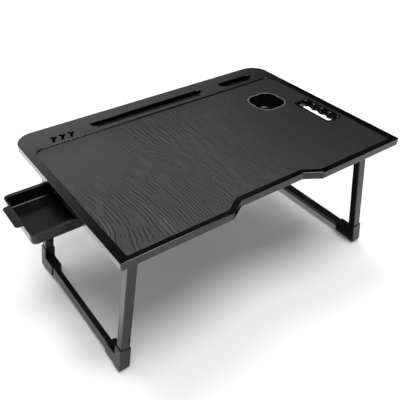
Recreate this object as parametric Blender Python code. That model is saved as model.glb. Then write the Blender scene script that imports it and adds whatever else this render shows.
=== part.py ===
"""Folding laptop table with a side drawer.

A wrapped board with a recessed wood-grain field stands on two splayed leg frames that fold in
under it. The rear rail of the board holds two device slots and three pen holes. A clover-shaped
cup well and a scalloped carry handle go through the board, and a shallow drawer slides out on two
rails under its left end. Metres, +Z up, front edge towards -Y, standing on z = 0.
"""
import math

import bmesh
import bpy
from mathutils import Vector

# Driving sizes of the whole table
table_height = 0.286
foot_overhang = 0.0062
leg_splay = math.radians(9)
seat_gap = 0.0003
cut_overrun = 0.002

# Board and its routed top
board_width = 0.600
board_depth = 0.420
board_thickness = 0.014
board_arris = 0.0018
rear_corner_radius = 0.038
front_corner_radius = 0.003
notch_mouth_half = 0.0985
notch_inner_half = 0.0685
notch_depth = 0.019
notch_corner_radius = 0.004
side_border = 0.016
front_border = 0.011
rail_depth = 0.068
field_recess = 0.0018
field_arris = 0.0012
field_rear_radius = 0.020
field_front_radius = 0.003
panel_thickness = 0.0010

# Device slots in the rear rail
slot_centre_from_rear = 0.0415
slot_width = 0.018
groove_width = 0.010
ledge_depth = 0.004
groove_depth = 0.008
long_slot_middle_x = -0.022
long_slot_length = 0.270
short_slot_middle_x = 0.202
short_slot_length = 0.098

# Pen holes in the rear rail: a crooked three-armed star each
pen_hole_count = 3
pen_hole_pitch = 0.018
pen_hole_first_x = -0.235
pen_hole_from_rear = 0.0475
pen_hole_depth = 0.009
pen_arm_half_width = 0.0027
pen_arm_lengths = (0.0075, 0.0090, 0.0137)
pen_arm_angles = (math.radians(32), math.radians(118), math.radians(245))

# Cup well: four overlapping circles, hung by its flange
cup_centre_from_edge = 0.102
cup_centre_from_rear = 0.157
cup_lobe_radius = 0.022
cup_lobe_offset = 0.0155
cup_wall = 0.0016
cup_flange_width = 0.0032
cup_flange_thickness = 0.0015
cup_well_depth = 0.034
cup_draft = 0.0025
cup_foot_radius = 0.004

# Carry handle insert in the right end of the board
handle_centre_from_edge = 0.0422
handle_centre_from_front = 0.1735
handle_opening_width = 0.0325
handle_opening_length = 0.093
handle_corner_radius = 0.004
handle_wall = 0.0018
handle_flange_width = 0.0026
handle_flange_thickness = 0.0014
finger_count = 4
finger_pitch = 0.0225
finger_depth = 0.0062

# Leg frames: rectangular tube, pressed into corner sockets
frame_front_inset = 0.04075
frame_rear_inset = 0.04675
upright_depth = 0.018
upright_width = 0.016
tube_wall = 0.0012
tube_corner_radius = 0.0020
foot_bar_depth = 0.012
foot_bar_height = 0.0198
foot_bar_clearance = 0.0085
foot_bar_outset = 0.0027
socket_wall = 0.0012
socket_height = 0.046
socket_arm_length = 0.033
socket_arris = 0.0010
socket_fillet = 0.0030
socket_floor = 0.006
pad_thickness = 0.0055
pad_inset = 0.0028
pad_arris = 0.0008

# Leg hinges: pressed steel bracket, rivet pin and an end plug in the tube
pivot_drop = 0.021
bracket_sheet = 0.0015
bracket_side_play = 0.0005
bracket_inner_reach = 0.0105
bracket_below_pivot = 0.012
bracket_plate_length = 0.046
bracket_flange_width = 0.0125
bracket_plate_radius = 0.004
pin_radius = 0.0025
pin_head_radius = 0.0042
pin_head_height = 0.0014
plug_spigot_length = 0.022
plug_neck = 0.009

# Drawer and its rails
drawer_open = 0.072
drawer_length = 0.190
drawer_width = 0.117
drawer_middle_y = 0.0015
drawer_height = 0.025
drawer_wall = 0.002
drawer_floor = 0.002
drawer_corner_radius = 0.009
drawer_bottom_radius = 0.005
drawer_flange_width = 0.005
drawer_end_lip = 0.001
drawer_flange_thickness = 0.0016
drawer_running_gap = 0.0010
tab_width = 0.060
tab_middle_y = 0.005
tab_reach = 0.0125
tab_thickness = 0.0026
tab_corner_radius = 0.0055
rail_sheet = 0.0020
rail_lip = 0.0016
rail_foot_width = 0.013
rail_front_inset = 0.004
rail_side_play = 0.0005
rail_stop_length = 0.003
rail_screw_count = 3

# Wood screws into the underside of the board
screw_shank_radius = 0.0015
screw_head_radius = 0.0031
screw_head_height = 0.0018
screw_length = 0.0055
screw_tip_length = 0.0015
screw_tip_share = 0.4
screw_crown_share = 0.55
screw_edge_share = 0.4

# Facet counts and the angles that part smooth faces from sharp ones
corner_steps = 6
small_corner_steps = 3
lobe_steps = 9
finger_steps = 7
arris_steps = 3
socket_arris_steps = 2
screw_sides = 8
pin_sides = 20
hole_sides = 20
quarter_count = 4
sharp_angle = math.radians(35)
edge_angle = math.radians(50)
square_edge_angle = math.radians(80)

# Finishes: colour, roughness and how metallic each one is
wrap_finish = ((0.035, 0.035, 0.037), 0.32, 0.0)
grain_finish = ((0.058, 0.058, 0.060), 0.55, 0.0)
plastic_finish = ((0.020, 0.020, 0.021), 0.38, 0.0)
powder_coat_finish = ((0.045, 0.045, 0.047), 0.42, 0.3)
zinc_finish = ((0.50, 0.50, 0.52), 0.35, 1.0)
rubber_finish = ((0.022, 0.022, 0.022), 0.85, 0.0)

# Places worked out from the sizes above
foot_spread = board_width + 2 * foot_overhang
frame_outer_width = board_depth - frame_front_inset - frame_rear_inset
frame_middle_y = (frame_front_inset - frame_rear_inset) / 2
board_top = table_height
board_underside = table_height - board_thickness
panel_top = board_top - field_recess
field_floor = panel_top - panel_thickness - seat_gap
pivot_height = board_underside - pivot_drop
lean = math.tan(leg_splay)
pivot_from_middle = foot_spread / 2 - pivot_height * lean - upright_depth / 2 / math.cos(leg_splay)
upright_offset = frame_outer_width / 2 - upright_width / 2
socket_half_depth = upright_depth / 2 + seat_gap + socket_wall
socket_half_width = upright_width / 2 + seat_gap + socket_wall
socket_bottom_height = pad_thickness + seat_gap
right_reach = (foot_spread / 2 + (seat_gap + socket_wall) / math.cos(leg_splay)
               - socket_bottom_height * lean)
left_reach = board_width / 2 + drawer_open + tab_reach
table_middle_x = (left_reach - right_reach) / 2
rear_edge = board_depth / 2
drawer_rim = board_underside - rail_sheet - seat_gap - drawer_running_gap
bracket_half_width = upright_width / 2 + bracket_side_play + bracket_sheet
bracket_plate_bottom = board_underside - seat_gap - bracket_sheet
bracket_screw_x = bracket_plate_length / 2 - bracket_plate_radius - screw_head_radius
bracket_screw_y = bracket_half_width + bracket_flange_width / 2
rail_web = drawer_flange_width + rail_side_play
rail_outer = rail_web + rail_sheet + rail_foot_width
screw_hole_radius = screw_shank_radius + seat_gap
pin_hole_radius = pin_radius + seat_gap


def clear_scene():
    for old in list(bpy.data.objects):
        bpy.data.objects.remove(old, do_unlink=True)


def make_material(name, finish):
    colour, roughness, metallic = finish
    material = bpy.data.materials.new(name)
    material.use_nodes = True
    shader = material.node_tree.nodes["Principled BSDF"]
    shader.inputs["Base Color"].default_value = (*colour, 1.0)
    shader.inputs["Roughness"].default_value = roughness
    shader.inputs["Metallic"].default_value = metallic
    return material


def make_empty(name, parent=None, location=(0, 0, 0), tilt=0.0):
    empty = bpy.data.objects.new(name, None)
    bpy.context.collection.objects.link(empty)
    empty.parent = parent
    empty.location = location
    empty.rotation_euler = (0, tilt, 0)
    return empty


def make_object(name, shape, material, parent, location=(0, 0, 0), smooth=False):
    """Turn a bmesh into a named object under its parent."""
    shape.normal_update()
    bmesh.ops.recalc_face_normals(shape, faces=shape.faces)
    mesh = bpy.data.meshes.new(name)
    shape.to_mesh(mesh)
    shape.free()
    if smooth:
        mesh.shade_smooth()
        mesh.set_sharp_from_angle(angle=sharp_angle)
    piece = bpy.data.objects.new(name, mesh)
    bpy.context.collection.objects.link(piece)
    piece.parent = parent
    piece.location = location
    if material:
        mesh.materials.append(material)
    return piece


def shape_with(piece, name, shape, operation):
    """Cut a hidden tool out of a piece, or join the tool to it."""
    tool = make_object(name, shape, None, piece.parent, piece.location)
    tool.hide_render = True
    tool.display_type = "WIRE"
    boolean = piece.modifiers.new(name, "BOOLEAN")
    boolean.operation = operation
    boolean.solver = "EXACT"
    boolean.object = tool


def round_edges(piece, width, segments, angle=edge_angle):
    bevel = piece.modifiers.new("rounded_edges", "BEVEL")
    bevel.width = width
    bevel.segments = segments
    bevel.limit_method = "ANGLE"
    bevel.angle_limit = angle


def arc(centre, radius, start, end, steps):
    """Points from one angle to another, both ends included."""
    angles = [start + (end - start) * i / steps for i in range(steps + 1)]
    return [(centre[0] + radius * math.cos(a), centre[1] + radius * math.sin(a)) for a in angles]


def circle(centre, radius, sides):
    return arc(centre, radius, 0, math.tau, sides)[:-1]


def rounded_outline(corners, steps=corner_steps):
    """Closed outline through (x, y, radius) corners, each corner with a round of its radius."""
    points = []
    for i, (x, y, radius) in enumerate(corners):
        if radius <= 0:
            points.append((x, y))
            continue
        here = Vector((x, y))
        back = (Vector(corners[i - 1][:2]) - here).normalized()
        ahead = (Vector(corners[(i + 1) % len(corners)][:2]) - here).normalized()
        half_angle = back.angle(ahead) / 2
        centre = here + (back + ahead).normalized() * radius / math.sin(half_angle)
        reach = radius / math.tan(half_angle)
        first = here + back * reach - centre
        last = here + ahead * reach - centre
        start = math.atan2(first.y, first.x)
        sweep = (math.atan2(last.y, last.x) - start + math.pi) % math.tau - math.pi
        points += arc(centre, radius, start, start + sweep, steps)
    return points


def rounded_rectangle(half_x, half_y, radius, steps=corner_steps, centre=(0, 0)):
    cx, cy = centre
    corners = [(cx - half_x, cy - half_y, radius), (cx + half_x, cy - half_y, radius),
               (cx + half_x, cy + half_y, radius), (cx - half_x, cy + half_y, radius)]
    return rounded_outline(corners, steps)


def at_height(outline, height):
    return [(x, y, height) for x, y in outline]


def lay_along(shape, axis):
    """Turn a shape built upwards so that its height runs along X or Y."""
    for vert in shape.verts:
        x, y, z = vert.co
        if axis == "x":
            vert.co = (z, x, y)
        if axis == "y":
            vert.co = (x, z, y)
    shape.normal_update()
    bmesh.ops.recalc_face_normals(shape, faces=shape.faces)
    return shape


def prism(outline, low, high, axis="z"):
    shape = bmesh.new()
    face = shape.faces.new([shape.verts.new(point) for point in at_height(outline, low)])
    extruded = bmesh.ops.extrude_face_region(shape, geom=[face])["geom"]
    raised = [item for item in extruded if isinstance(item, bmesh.types.BMVert)]
    bmesh.ops.translate(shape, verts=raised, vec=(0, 0, high - low))
    return lay_along(shape, axis)


def loft(rings, shape=None):
    """Skin closed rings of equal count one after another, with a face across each end."""
    shape = shape or bmesh.new()
    loops = [[shape.verts.new(point) for point in ring] for ring in rings]
    for lower, upper in zip(loops, loops[1:]):
        for i in range(len(lower)):
            j = (i + 1) % len(lower)
            shape.faces.new((lower[i], lower[j], upper[j], upper[i]))
    shape.faces.new(list(reversed(loops[0])))
    shape.faces.new(loops[-1])
    return shape


def turned(profile, sides, centre=(0, 0), shape=None):
    """Revolve a (radius, height) profile about an upright axis."""
    return loft([at_height(circle(centre, radius, sides), height) for radius, height in profile], shape)


# Board, its wood-grain inlay and what is routed into them

def board_outline():
    half, front = board_width / 2, -board_depth / 2
    return rounded_outline([
        (-half, front, front_corner_radius),
        (-notch_mouth_half, front, notch_corner_radius),
        (-notch_inner_half, front + notch_depth, notch_corner_radius),
        (notch_inner_half, front + notch_depth, notch_corner_radius),
        (notch_mouth_half, front, notch_corner_radius),
        (half, front, front_corner_radius),
        (half, rear_edge, rear_corner_radius),
        (-half, rear_edge, rear_corner_radius),
    ])


def field_outline(offset):
    """Edge of the recessed field, which follows the board's front edge at an even distance."""
    border = front_border - offset
    half = board_width / 2 - side_border + offset
    front = -board_depth / 2 + border
    turn = math.atan2(notch_depth, notch_mouth_half - notch_inner_half)
    widening = border * math.tan(turn / 2)
    rear = rear_edge - rail_depth + offset
    return rounded_outline([
        (-half, front, field_front_radius + offset),
        (-notch_mouth_half - widening, front, 0),
        (-notch_inner_half - widening, front + notch_depth, 0),
        (notch_inner_half + widening, front + notch_depth, 0),
        (notch_mouth_half + widening, front, 0),
        (half, front, field_front_radius + offset),
        (half, rear, field_rear_radius + offset),
        (-half, rear, field_rear_radius + offset),
    ])


def field_cutter():
    """Recess for the inlay, flared at the top so that it leaves a rounded arris on the border."""
    rings = [at_height(field_outline(0), field_floor)]
    for i in range(arris_steps + 1):
        angle = math.pi / 2 * i / arris_steps
        offset = field_arris * (1 - math.cos(angle))
        rings.append(at_height(field_outline(offset), board_top - field_arris * (1 - math.sin(angle))))
    rings.append(at_height(field_outline(field_arris), board_top + cut_overrun))
    return loft(rings)


def stadium(middle_x, middle_y, length, width):
    end_radius = width / 2 - seat_gap
    return rounded_rectangle(length / 2, width / 2, end_radius, corner_steps, (middle_x, middle_y))


def slot_cutter(middle_x, length):
    """Device slot: a deep groove at the rear and a ledge that slopes up from it to the front."""
    middle_y = rear_edge - slot_centre_from_rear
    groove_y = middle_y + (slot_width - groove_width) / 2
    groove_length = length - (slot_width - groove_width)
    mouth = stadium(middle_x, middle_y, length, slot_width)
    groove = stadium(middle_x, groove_y, groove_length, groove_width)
    return loft([at_height(groove, board_top - groove_depth), at_height(groove, board_top - ledge_depth),
                 at_height(mouth, board_top), at_height(mouth, board_top + cut_overrun)])


def pen_hole_outline(middle_x):
    """Three round-ended arms of unlike length, with an inner corner between each two."""
    middle_y = rear_edge - pen_hole_from_rear
    following = pen_arm_angles[1:] + (pen_arm_angles[0] + math.tau,)
    points = []
    for angle, length, next_angle in zip(pen_arm_angles, pen_arm_lengths, following):
        tip = (middle_x + (length - pen_arm_half_width) * math.cos(angle),
               middle_y + (length - pen_arm_half_width) * math.sin(angle))
        quarter = math.pi / 2
        points += arc(tip, pen_arm_half_width, angle - quarter, angle + quarter, small_corner_steps)
        between = (angle + next_angle) / 2
        inner = pen_arm_half_width / math.sin((next_angle - angle) / 2)
        points.append((middle_x + inner * math.cos(between), middle_y + inner * math.sin(between)))
    return points


def pen_hole_cutter():
    shape = bmesh.new()
    for i in range(pen_hole_count):
        outline = pen_hole_outline(pen_hole_first_x + i * pen_hole_pitch)
        low, high = board_top - pen_hole_depth, board_top + cut_overrun
        loft([at_height(outline, low), at_height(outline, high)], shape)
    return shape


def clover_outline(offset):
    """Outline of four overlapping circles, grown evenly by an offset."""
    shift = cup_lobe_offset / math.sqrt(2)
    radius = cup_lobe_radius + offset
    half_span = math.pi / 4 + math.asin(shift / radius)
    points = []
    for quarter in range(quarter_count):
        middle_angle = math.pi / 4 + quarter * math.pi / 2
        centre = (board_width / 2 - cup_centre_from_edge + cup_lobe_offset * math.cos(middle_angle),
                  rear_edge - cup_centre_from_rear + cup_lobe_offset * math.sin(middle_angle))
        lobe = arc(centre, radius, middle_angle - half_span, middle_angle + half_span, lobe_steps)
        points += lobe[:-1]
    return points


def handle_outline(offset):
    half_x = handle_opening_width / 2 + offset
    half_y = handle_opening_length / 2 + offset
    return rounded_rectangle(half_x, half_y, handle_corner_radius + offset, small_corner_steps,
                             (board_width / 2 - handle_centre_from_edge,
                              -board_depth / 2 + handle_centre_from_front))


def bracket_places():
    """Side, row name and y of the four hinges."""
    rows = (("front", frame_middle_y - upright_offset), ("rear", frame_middle_y + upright_offset))
    return [(side, name, row, y) for side, name in ((-1, "left"), (1, "right")) for row, y in rows]


def bracket_plate_x(side):
    """Middle of the plate: over the place where the leg's centre line meets the board."""
    return side * (pivot_from_middle - pivot_drop * lean)


def bracket_screw_places(side, y):
    """The four screws of one hinge bracket."""
    steps = [(dx, dy) for dx in (-bracket_screw_x, bracket_screw_x)
             for dy in (-bracket_screw_y, bracket_screw_y)]
    return [(bracket_plate_x(side) + dx, y + dy) for dx, dy in steps]


def rail_ends():
    """X of the outer and the inner end of the drawer rails."""
    outer = -board_width / 2 + rail_front_inset
    stop_face = -board_width / 2 + drawer_length + drawer_end_lip + bracket_side_play
    return outer, stop_face + rail_stop_length


def rail_screw_places(row):
    """The screws in the foot of one drawer rail."""
    outer, inner = rail_ends()
    away = drawer_width / 2 + rail_outer - rail_foot_width / 2
    pitch = (inner - outer) / (rail_screw_count + 1)
    return [(outer + pitch * (i + 1), drawer_middle_y + row * away) for i in range(rail_screw_count)]


def pilot_hole_cutter():
    shape = bmesh.new()
    depth = screw_length + seat_gap - bracket_sheet
    places = rail_screw_places(-1) + rail_screw_places(1)
    for side, _, _, y in bracket_places():
        places += bracket_screw_places(side, y)
    for place in places:
        turned([(screw_hole_radius, board_underside - cut_overrun),
                (screw_hole_radius, board_underside + depth)], screw_sides, place, shape)
    return shape


def build_board(root):
    film = make_material("black_wrap", wrap_finish)
    grain = make_material("wood_grain_film", grain_finish)
    slab = prism(board_outline(), board_underside, board_top)
    board = make_object("tabletop_board", slab, film, root, smooth=True)
    round_edges(board, board_arris, arris_steps)
    shape_with(board, "field_recess", field_cutter(), "DIFFERENCE")
    shape_with(board, "long_slot_cut", slot_cutter(long_slot_middle_x, long_slot_length), "DIFFERENCE")
    shape_with(board, "short_slot_cut", slot_cutter(short_slot_middle_x, short_slot_length), "DIFFERENCE")
    shape_with(board, "pen_hole_cuts", pen_hole_cutter(), "DIFFERENCE")
    shape_with(board, "pilot_holes", pilot_hole_cutter(), "DIFFERENCE")
    sheet = prism(field_outline(-seat_gap), panel_top - panel_thickness, panel_top)
    panel = make_object("wood_grain_panel", sheet, grain, root)
    low, high = board_underside - cut_overrun, board_top + cut_overrun
    for piece, cup_room, handle_room in ((board, 0, 0), (panel, cup_flange_width, handle_flange_width)):
        cup_hole = prism(clover_outline(cup_wall + cup_room + seat_gap), low, high)
        shape_with(piece, piece.name + "_cup_hole", cup_hole, "DIFFERENCE")
        handle_hole = prism(handle_outline(handle_wall + handle_room + seat_gap), low, high)
        shape_with(piece, piece.name + "_handle_hole", handle_hole, "DIFFERENCE")


def build_cup_well(root, plastic):
    """Moulded clover-shaped well with a draft, hung by its flange in a cut-out of the inlay."""
    flange_low = field_floor + seat_gap
    flange_high = flange_low + cup_flange_thickness
    bottom = flange_high - cup_well_depth
    inner_draft = cup_draft * (1 - cup_wall / cup_well_depth)
    rings = [
        at_height(clover_outline(cup_wall - cup_draft - cup_foot_radius), bottom),
        at_height(clover_outline(cup_wall - cup_draft), bottom + cup_foot_radius),
        at_height(clover_outline(cup_wall), flange_low),
        at_height(clover_outline(cup_wall + cup_flange_width), flange_low),
        at_height(clover_outline(cup_wall + cup_flange_width), flange_low + cup_flange_thickness / 2),
        at_height(clover_outline(cup_wall + cup_flange_width / 2), flange_high),
        at_height(clover_outline(cup_wall / 2), flange_high),
        at_height(clover_outline(0), flange_low),
        at_height(clover_outline(-inner_draft), bottom + cup_wall + cup_foot_radius),
        at_height(clover_outline(-inner_draft - cup_foot_radius), bottom + cup_wall),
    ]
    make_object("cup_holder_well", loft(rings), plastic, root, smooth=True)


def finger_outline():
    """Opening of the carry handle, with a row of finger scallops along its outer side."""
    middle_x = board_width / 2 - handle_centre_from_edge
    middle_y = -board_depth / 2 + handle_centre_from_front
    half_x, half_y = handle_opening_width / 2, handle_opening_length / 2
    ridge_x = middle_x + half_x - finger_depth
    first_y = middle_y - (finger_count - 1) * finger_pitch / 2
    radius = (finger_pitch ** 2 / 4 + finger_depth ** 2) / (2 * finger_depth)
    half_span = math.asin(finger_pitch / 2 / radius)
    points = [(middle_x - half_x, middle_y + half_y), (middle_x - half_x, middle_y - half_y),
              (ridge_x, middle_y - half_y)]
    for i in range(finger_count):
        centre = (middle_x + half_x - radius, first_y + i * finger_pitch)
        scallop = arc(centre, radius, -half_span, half_span, finger_steps)
        points += scallop if i == 0 else scallop[1:]
    points.append((ridge_x, middle_y + half_y))
    return points


def build_handle_insert(root, plastic):
    """Moulded liner of the carry opening: flange in the inlay, walls through the board."""
    flange_low = field_floor + seat_gap
    flange_high = flange_low + handle_flange_thickness
    flange_middle = (flange_low + flange_high) / 2
    rings = [
        at_height(handle_outline(handle_wall), board_underside),
        at_height(handle_outline(handle_wall), flange_low),
        at_height(handle_outline(handle_wall + handle_flange_width), flange_low),
        at_height(handle_outline(handle_wall + handle_flange_width), flange_middle),
        at_height(handle_outline(handle_wall + handle_flange_width / 2), flange_high),
    ]
    insert = make_object("handle_insert", loft(rings), plastic, root, smooth=True)
    opening = prism(finger_outline(), board_underside - cut_overrun, flange_high + cut_overrun)
    shape_with(insert, "handle_opening", opening, "DIFFERENCE")


# Hinges under the board

def build_bracket(name, side, y, root, steel):
    """Pressed bracket: a screwed plate, two cheeks and the leaning wall that stops the leg."""
    plate_x = bracket_plate_x(side)
    plate = prism(rounded_rectangle(bracket_plate_length / 2, bracket_half_width + bracket_flange_width,
                                    bracket_plate_radius, small_corner_steps, (plate_x, y)),
                  bracket_plate_bottom, board_underside - seat_gap)
    bracket = make_object(name, plate, steel, root)
    wall_inner = (upright_depth / 2 + seat_gap) / math.cos(leg_splay)
    wall_outer = wall_inner + bracket_sheet / math.cos(leg_splay)
    half_inner = bracket_half_width - bracket_sheet
    channel = [(-bracket_inner_reach, -bracket_half_width), (wall_outer, -bracket_half_width),
               (wall_outer, bracket_half_width), (-bracket_inner_reach, bracket_half_width),
               (-bracket_inner_reach, half_inner), (wall_inner, half_inner),
               (wall_inner, -half_inner), (-bracket_inner_reach, -half_inner)]
    rings = []
    for height in (pivot_height - bracket_below_pivot, bracket_plate_bottom + bracket_sheet / 2):
        axis_x = pivot_from_middle - (height - pivot_height) * lean
        rings.append([(side * (axis_x + x), y + dy, height) for x, dy in channel])
    shape_with(bracket, name + "_channel", loft(rings), "UNION")
    holes = bmesh.new()
    for place in bracket_screw_places(side, y):
        turned([(screw_hole_radius, bracket_plate_bottom - cut_overrun),
                (screw_hole_radius, board_underside + cut_overrun)], screw_sides, place, holes)
    shape_with(bracket, name + "_screw_holes", holes, "DIFFERENCE")
    reach = bracket_half_width + cut_overrun
    pin_hole = prism(circle((side * pivot_from_middle, pivot_height), pin_hole_radius, hole_sides),
                     y - reach, y + reach, "y")
    shape_with(bracket, name + "_pin_hole", pin_hole, "DIFFERENCE")


def build_pin(name, side, y, root, zinc):
    """Rivet through both cheeks and the plug, with a flat head at each end."""
    seat = bracket_half_width + seat_gap
    head_end = seat + pin_head_height
    crown = pin_head_radius - pin_head_height / 2
    shape = turned([(crown, -head_end), (pin_head_radius, -seat - pin_head_height / 2),
                    (pin_head_radius, -seat), (pin_radius, -seat), (pin_radius, seat),
                    (pin_head_radius, seat), (pin_head_radius, seat + pin_head_height / 2),
                    (crown, head_end)], pin_sides)
    make_object(name, lay_along(shape, "y"), zinc, root, (side * pivot_from_middle, y, pivot_height),
                smooth=True)


def screw_mesh(zinc):
    """Pan-head wood screw standing point up, with the underside of its head at z = 0."""
    shape = turned([(screw_head_radius * screw_crown_share, -screw_head_height),
                    (screw_head_radius, -screw_head_height * screw_edge_share),
                    (screw_head_radius, 0), (screw_shank_radius, 0),
                    (screw_shank_radius, screw_length - screw_tip_length),
                    (screw_shank_radius * screw_tip_share, screw_length)], screw_sides)
    mesh = bpy.data.meshes.new("wood_screw")
    shape.to_mesh(mesh)
    shape.free()
    mesh.shade_smooth()
    mesh.set_sharp_from_angle(angle=sharp_angle)
    mesh.materials.append(zinc)
    return mesh


def place_screws(name, mesh, places, plate_thickness, root):
    """Drive one screw up through a plate into the board at each place."""
    for i, (x, y) in enumerate(places):
        screw = bpy.data.objects.new(f"{name}_{i + 1}", mesh)
        bpy.context.collection.objects.link(screw)
        screw.parent = root
        screw.location = (x, y, board_underside - seat_gap - plate_thickness - seat_gap)


# Leg frames, each built in a frame of its own whose Z axis runs up the leg from the pivot

def floor_level(side, x, height):
    """Leg-frame z of a point at a leg-frame x that stands at a true height above the floor."""
    return -(pivot_height - height + side * x * math.sin(leg_splay)) / math.cos(leg_splay)


def tube(name, middle, half_u, half_v, low, high, steel, parent, axis="z"):
    """Hollow rectangular tube with rounded corners, open at both ends."""
    outer = rounded_rectangle(half_u, half_v, tube_corner_radius, small_corner_steps, middle)
    piece = make_object(name, prism(outer, low, high, axis), steel, parent, smooth=True)
    inner = rounded_rectangle(half_u - tube_wall, half_v - tube_wall, tube_corner_radius - tube_wall,
                              small_corner_steps, middle)
    bore = prism(inner, low - cut_overrun, high + cut_overrun, axis)
    shape_with(piece, name + "_bore", bore, "DIFFERENCE")


def build_socket(name, side, row, y, axis, plastic):
    """Corner moulding: an upright arm round the leg tube and a short arm round the foot bar."""
    bottom = floor_level(side, 0, socket_bottom_height)
    top = bottom + socket_height
    bar_low = floor_level(side, 0, 0) + foot_bar_clearance
    arm_low = bar_low - seat_gap - socket_wall
    arm_high = bar_low + foot_bar_height + seat_gap + socket_wall
    arm_end = socket_half_width + socket_arm_length
    step = arm_low - bottom
    profile = rounded_outline([
        (-socket_half_width, bottom, socket_arris), (socket_half_width, bottom, 0),
        (socket_half_width + step, arm_low, 0), (arm_end, arm_low, 0), (arm_end, arm_high, 0),
        (socket_half_width, arm_high, socket_fillet), (socket_half_width, top, 0),
        (-socket_half_width, top, 0)], small_corner_steps)
    shape = prism([(y - row * v, z) for v, z in profile], -socket_half_depth, socket_half_depth, "x")
    for vert in shape.verts:
        if vert.co.z < arm_low - seat_gap:
            vert.co.z -= side * vert.co.x * lean
    socket = make_object(name, shape, plastic, axis)
    round_edges(socket, socket_arris, socket_arris_steps, square_edge_angle)
    half_x, half_y = upright_depth / 2 + seat_gap, upright_width / 2 + seat_gap
    upright_outline = rounded_rectangle(half_x, half_y, tube_corner_radius, small_corner_steps, (0, y))
    upright_space = prism(upright_outline, bottom + socket_floor, top + cut_overrun)
    shape_with(socket, name + "_upright_space", upright_space, "DIFFERENCE")
    bar_middle = bar_low + foot_bar_height / 2
    bar_outline = rounded_rectangle(foot_bar_depth / 2 + seat_gap, foot_bar_height / 2 + seat_gap,
                                    tube_corner_radius, small_corner_steps,
                                    (side * foot_bar_outset, bar_middle))
    ends = [y - row * socket_half_width, y - row * (arm_end + cut_overrun)]
    shape_with(socket, name + "_bar_space", prism(bar_outline, min(ends), max(ends), "y"), "DIFFERENCE")


def build_pad(name, side, y, axis, rubber):
    """Rubber foot under the socket, flat on the floor although the leg leans."""
    rings = []
    for height, inset in ((0, pad_inset + pad_arris), (pad_arris, pad_inset), (pad_thickness, pad_inset)):
        half_x, half_y = socket_half_depth - inset, socket_half_width - inset
        outline = rounded_rectangle(half_x, half_y, tube_corner_radius, small_corner_steps, (0, y))
        rings.append([(x, v, floor_level(side, x, height)) for x, v in outline])
    make_object(name, loft(rings), rubber, axis)


def build_plug(name, y, axis, plastic):
    """End plug of the leg tube: a round-topped eye for the pin and a spigot inside the tube."""
    half = upright_depth / 2
    outline = arc((0, 0), half, 0, math.pi, 2 * corner_steps) + [(-half, -plug_neck), (half, -plug_neck)]
    shape = prism(outline, y - upright_width / 2, y + upright_width / 2, "y")
    bottom = [face for face in shape.faces if all(v.co.z < seat_gap - plug_neck for v in face.verts)]
    bmesh.ops.inset_individual(shape, faces=bottom, thickness=tube_wall + 2 * seat_gap,
                               use_even_offset=True)
    extruded = bmesh.ops.extrude_face_region(shape, geom=bottom)["geom"]
    lowered = [item for item in extruded if isinstance(item, bmesh.types.BMVert)]
    bmesh.ops.translate(shape, verts=lowered, vec=(0, 0, -plug_spigot_length))
    bmesh.ops.delete(shape, geom=bottom, context="FACES_ONLY")
    plug = make_object(name, shape, plastic, axis, smooth=True)
    reach = upright_width / 2 + cut_overrun
    pin_hole = prism(circle((0, 0), pin_hole_radius, hole_sides), y - reach, y + reach, "y")
    shape_with(plug, name + "_pin_hole", pin_hole, "DIFFERENCE")


def build_leg(side, name, root, steel, plastic, rubber):
    """One leg frame: two uprights and a foot bar in corner sockets, hung on two hinge pins."""
    axis = make_empty(name + "_leg_fold_axis", root, (side * pivot_from_middle, 0, pivot_height),
                      -side * leg_splay)
    floor = floor_level(side, 0, 0)
    upright_low = floor_level(side, 0, socket_bottom_height) + socket_floor + seat_gap
    for row, row_name in ((-1, "front"), (1, "rear")):
        y = frame_middle_y + row * upright_offset
        label = name + "_" + row_name
        tube(label + "_leg_tube", (0, y), upright_depth / 2, upright_width / 2,
             upright_low, -plug_neck - seat_gap, steel, axis)
        build_socket(label + "_corner_socket", side, row, y, axis, plastic)
        build_pad(label + "_foot_pad", side, y, axis, rubber)
        build_plug(label + "_hinge_plug", y, axis, plastic)
    bar_half = upright_offset - socket_half_width - seat_gap
    bar_middle = (side * foot_bar_outset, floor + foot_bar_clearance + foot_bar_height / 2)
    tube(name + "_foot_bar", bar_middle,
         foot_bar_depth / 2, foot_bar_height / 2, frame_middle_y - bar_half, frame_middle_y + bar_half,
         steel, axis, "y")


# Drawer

def tray_outline(offset_x, offset_y):
    radius = max(drawer_corner_radius + min(offset_x, offset_y), drawer_wall)
    return rounded_rectangle(drawer_length / 2 + offset_x, drawer_width / 2 + offset_y, radius,
                             corner_steps, (drawer_length / 2, 0))


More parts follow.
